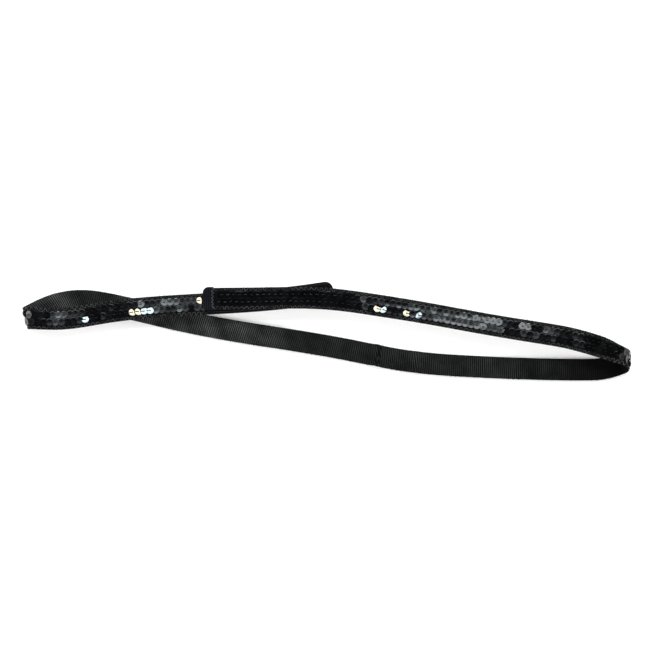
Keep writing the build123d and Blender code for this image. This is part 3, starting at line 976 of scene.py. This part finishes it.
def edge_zigzag(name, first, last):
    """The zigzag swings between the sequins and the edge as a wave with rounded corners; at the
    edge it dips round the tape, and no two of its swings are quite alike."""
    period = 2.2 * MM
    s = np.linspace(first, last, round((last - first) / (period / 12)) + 1)
    both = []
    for side in (-1, 1):
        phase = 2 * np.pi * s / period + side + 0.9 * np.sin(s / (5.3 * MM) + side)
        swing = np.sin(phase) + 0.12 * np.sin(3 * phase)
        uneven = 1 + 0.4 * np.sin(s / (2.9 * MM) + side) * np.sin(s / (7.1 * MM))
        offset = (4.35 + 0.66 * swing * uneven) * MM
        out = np.clip(swing, 0, 1) ** 2
        height = (0.31 - 0.16 * out + 0.03 * np.cos(2 * phase)) * MM
        both.append(on_band(s + 0.25 * MM * np.cos(phase + 1), side * offset, height))
    wear_and_painted_light = 0.68 + 0.42 * np.sin(s / (3.7 * MM)) * np.sin(s / (1.9 * MM) + 1)
    wear_and_painted_light = wear_and_painted_light + 0.2 * np.sin(s / (0.7 * MM))
    return strands(name, np.stack(both), 0.075 * MM, thread, wear_and_painted_light=wear_and_painted_light)


stitch_nodes = {
    "tab": ["row_threads_tab"],
    "right_fold": ["row_threads_right_arm", "row_threads_lower_run"],
    "left_fold": ["row_threads_left_arm"],
}
edge_nodes = {
    "tab": ["edge_stitching_tab"],
    "right_fold": ["edge_stitching_right_arm", "edge_stitching_lower_run"],
    "left_fold": ["edge_stitching_left_arm"],
}
for part, (first, last) in taped.items():
    piece = hole_stitches(f"sequin_stitches_{part}", *placed[part])
    moves_with(piece, part)
    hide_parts(*stitch_nodes[part])
    piece = edge_zigzag(f"edge_zigzag_{part}", max(first, hem_edge - 0.4 * MM), last - 0.3 * MM)
    moves_with(piece, part)
    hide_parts(*edge_nodes[part])

# ---------------------------------------------------------------------------------------------
# The turned hem: the end of the ribbed ribbon, folded over the tab's end with its corners rounded
# and tacked down through the tape with a row of short grey stitches.
# ---------------------------------------------------------------------------------------------
def hem_profile():
    """The hem as a profile carried along its own short length: a rounded nose past the tab's end,
    a ribbed upper face that ends in a low step, and an underside that closes below the nose."""
    first, last, points = -0.55 * MM, 4.4 * MM, 60
    s = np.linspace(first, last, points)
    nose = np.sqrt(np.clip(1 - ((0.25 * MM - s) / (0.8 * MM)).clip(0, 1) ** 2, 0.0004, 1))
    middle, reach = 0.08 * MM, 0.56 * MM
    step_down = 1 - np.clip((s - last + 0.35 * MM) / (0.35 * MM), 0, 1) ** 2 * 0.85
    rib = 0.06 * MM * (0.5 + 0.5 * np.cos(2 * np.pi * s / hem_rib_pitch))
    top = middle + (reach + rib) * nose * step_down + (1 - step_down) * 0.12 * MM
    under = np.where(s < 0.3 * MM, middle - 0.52 * MM * nose, 0.16 * MM)
    half = rounded_end(s, first, 2.8 * MM, 5.35 * MM)
    t = np.linspace(-1, 1, 15)
    edge = 1 - np.abs(t) ** 8 * 0.75
    upper = under[:, None] + (top - under)[:, None] * edge
    lower = np.broadcast_to(under[:, None], upper.shape)
    offset = np.concatenate([t, t[::-1]])[None] * half[:, None]
    return s, offset, np.concatenate([lower, upper[:, ::-1]], axis=1)


piece = carried("turned_hem", *hem_profile(), hem_grosgrain)
give_wear_and_painted_light(piece, np.ones(len(piece.data.vertices)))
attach(piece, "tab")
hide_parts("tab_end_hem")

# The tacks run from edge to edge as a sine wave of five and a half turns, near the hem's step.
tack_turns = 5.5
turn = np.linspace(0, 2 * np.pi * tack_turns, 130)
s = 3.95 * MM + 0.42 * MM * np.sin(turn)
offset = np.linspace(-4.6, 4.6, len(turn)) * MM
height = (0.66 + 0.05 * np.cos(2 * turn)) * MM
piece = strands("hem_tacks", on_band(s, offset, height)[None], 0.085 * MM, thread)
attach(piece, "tab")
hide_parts("hem_stitching")

# ---------------------------------------------------------------------------------------------
# The closure: a strip of soft loops on the left arm's end, and under the tab a strip of stiff
# moulded hooks.  Each is sewn on along both long edges.
# ---------------------------------------------------------------------------------------------
def closure_base(name, first, last, half, low, high, finish):
    """A strip's base: a flat oval profile whose face falls with the sixth power of the offset,
    with small round corners at its first end and large ones at its last."""
    s = np.linspace(first, last, 120)
    small_corners = rounded_end(s, first, 1.0 * MM, half)
    large_corners = rounded_end(s, last, 3.4 * MM, half)
    wide = np.minimum(small_corners, large_corners)
    t = np.linspace(-1, 1, 9)
    offset = np.concatenate([t, t[::-1]])[None] * wide[:, None]
    face = high - (high - low) * 0.4 * np.abs(t[::-1]) ** 6
    crown = np.concatenate([np.full(len(t), low), face])
    return carried(name, s, offset, np.broadcast_to(crown, offset.shape), finish)


def scattered(first, last, half, along_step, across_step, jitter):
    """Even places over a strip, each moved by a small seeded amount along and across."""
    along = np.arange(first, last, along_step)
    across_strip = np.arange(-half, half + 1e-9, across_step)
    a, b = (grid.ravel() for grid in np.meshgrid(along, across_strip))
    return a + chance.normal(0, jitter, len(a)), b + chance.normal(0, jitter, len(b))


loop_yarn = fabric_finish(
    "loop_yarn", (0.0010, 0.0010, 0.0012), (0.0055, 0.0055, 0.006), (5.0, 5.0), 0.8, 0.06
)
loops_from = tape_end + 0.4 * MM
loops_to = band_end - 0.3 * MM
loop_base_top = 0.35 * MM
loop_base = closure_base(
    "loop_strip_base", loops_from, loops_to, 4.7 * MM, 0.01 * MM, loop_base_top, loop_yarn
)
moves_with(loop_base, "left_fold")
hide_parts("loop_strip")

# Each loop of the pile is an arch of seven points over its place, turned its own way.
along_at, across_at = scattered(
    loops_from + 0.8 * MM, loops_to - 1.4 * MM, 4.2 * MM, 0.75 * MM, 0.6 * MM, 0.11 * MM
)
around = np.linspace(-0.15 * np.pi, 1.15 * np.pi, 7)
turned = chance.random(len(along_at)) * np.pi
tall = (0.20 + 0.05 * chance.random(len(along_at))) * MM
loop_half_width = 0.26 * MM
run_out = np.cos(around)[None] * loop_half_width
paths = on_band(
    along_at[:, None] + run_out * np.cos(turned)[:, None],
    across_at[:, None] + run_out * np.sin(turned)[:, None],
    loop_base_top + 0.07 * MM + tall[:, None] * np.sin(around)[None],
)
piece = strands("loop_pile", paths, 0.035 * MM, loop_yarn, sides=4)
moves_with(piece, "left_fold")
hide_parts("loop_strip")

hook_nylon = bpy.data.materials.new("hook_nylon")
hook_nylon.use_nodes = True
tree = hook_nylon.node_tree
shader = tree.nodes["Principled BSDF"]
shader.inputs["Roughness"].default_value = 0.42
where = node(tree, "ShaderNodeTexCoord")
streaks = node(tree, "ShaderNodeTexNoise", Scale=1400.0, Detail=3.0)
nylon_tone = tone_ramp(tree, (0.008, 0.008, 0.009), (0.030, 0.030, 0.033))
grain = node(tree, "ShaderNodeBump", Strength=0.3, Distance=0.00004)
tree.links.new(where.outputs["Object"], streaks.inputs["Vector"])
tree.links.new(streaks.outputs["Fac"], nylon_tone.inputs["Fac"])
tree.links.new(nylon_tone.outputs["Color"], shader.inputs["Base Color"])
tree.links.new(streaks.outputs["Fac"], grain.inputs["Height"])
tree.links.new(grain.outputs["Normal"], shader.inputs["Normal"])

hooks_from = 4.2 * MM
hooks_to = 58.0 * MM
hook_base_top = -ribbon_thickness - rib_height - 0.03 * MM
hook_base_under = hook_base_top - 0.30 * MM
hook_base = closure_base(
    "hook_strip_base", hooks_from, hooks_to, 4.5 * MM, hook_base_under, hook_base_top, hook_nylon
)
moves_with(hook_base, "tab")
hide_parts("hook_strip")

# A hook is a stem that bows over: six points, by turns towards one end of the strip and the other.
along_at, across_at = scattered(
    hooks_from + 1.2 * MM, hooks_to - 1.8 * MM, 3.9 * MM, 1.25 * MM, 0.65 * MM, 0.03 * MM
)
bow = np.array([0.0, 0.02, 0.10, 0.24, 0.34, 0.33]) * MM
drop = np.array([0.05, -0.16, -0.31, -0.36, -0.28, -0.20]) * MM
facing = np.where(np.arange(len(along_at)) % 2 > 0, 1.0, -1.0)[:, None]
paths = on_band(
    along_at[:, None] + bow[None] * facing,
    across_at[:, None] + 0 * bow[None],
    hook_base_under + drop[None] + 0 * facing,
)
piece = strands("moulded_hooks", paths, 0.06 * MM, hook_nylon, sides=5, taper=0.3)
moves_with(piece, "tab")
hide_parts("hook_strip")


def running_stitch(name, first, last, offset, height, proud):
    """Two lines of stitches: the thread rises over the strip and dips into it by turns, as a sine
    wave of the stitches' own length."""
    stitch_length = 2.4 * MM
    s = np.linspace(first, last, round((last - first) / (0.2 * MM)))
    lift = proud * np.sin(2 * np.pi * s / stitch_length)
    paths = [on_band(s, side * offset, height + lift) for side in (-1, 1)]
    return strands(name, np.stack(paths), 0.09 * MM, black_thread)


piece = running_stitch(
    "loop_strip_seams", loops_from + 1 * MM, loops_to - 2 * MM, 3.95 * MM, 0.36 * MM, 0.07 * MM
)
moves_with(piece, "left_fold")
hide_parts("loop_strip_stitching")

piece = running_stitch(
    "hook_strip_seams", hooks_from + 1 * MM, hooks_to - 2 * MM, 4.0 * MM, hook_base_under, -0.07 * MM
)
moves_with(piece, "tab")
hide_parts("hook_strip_stitching")
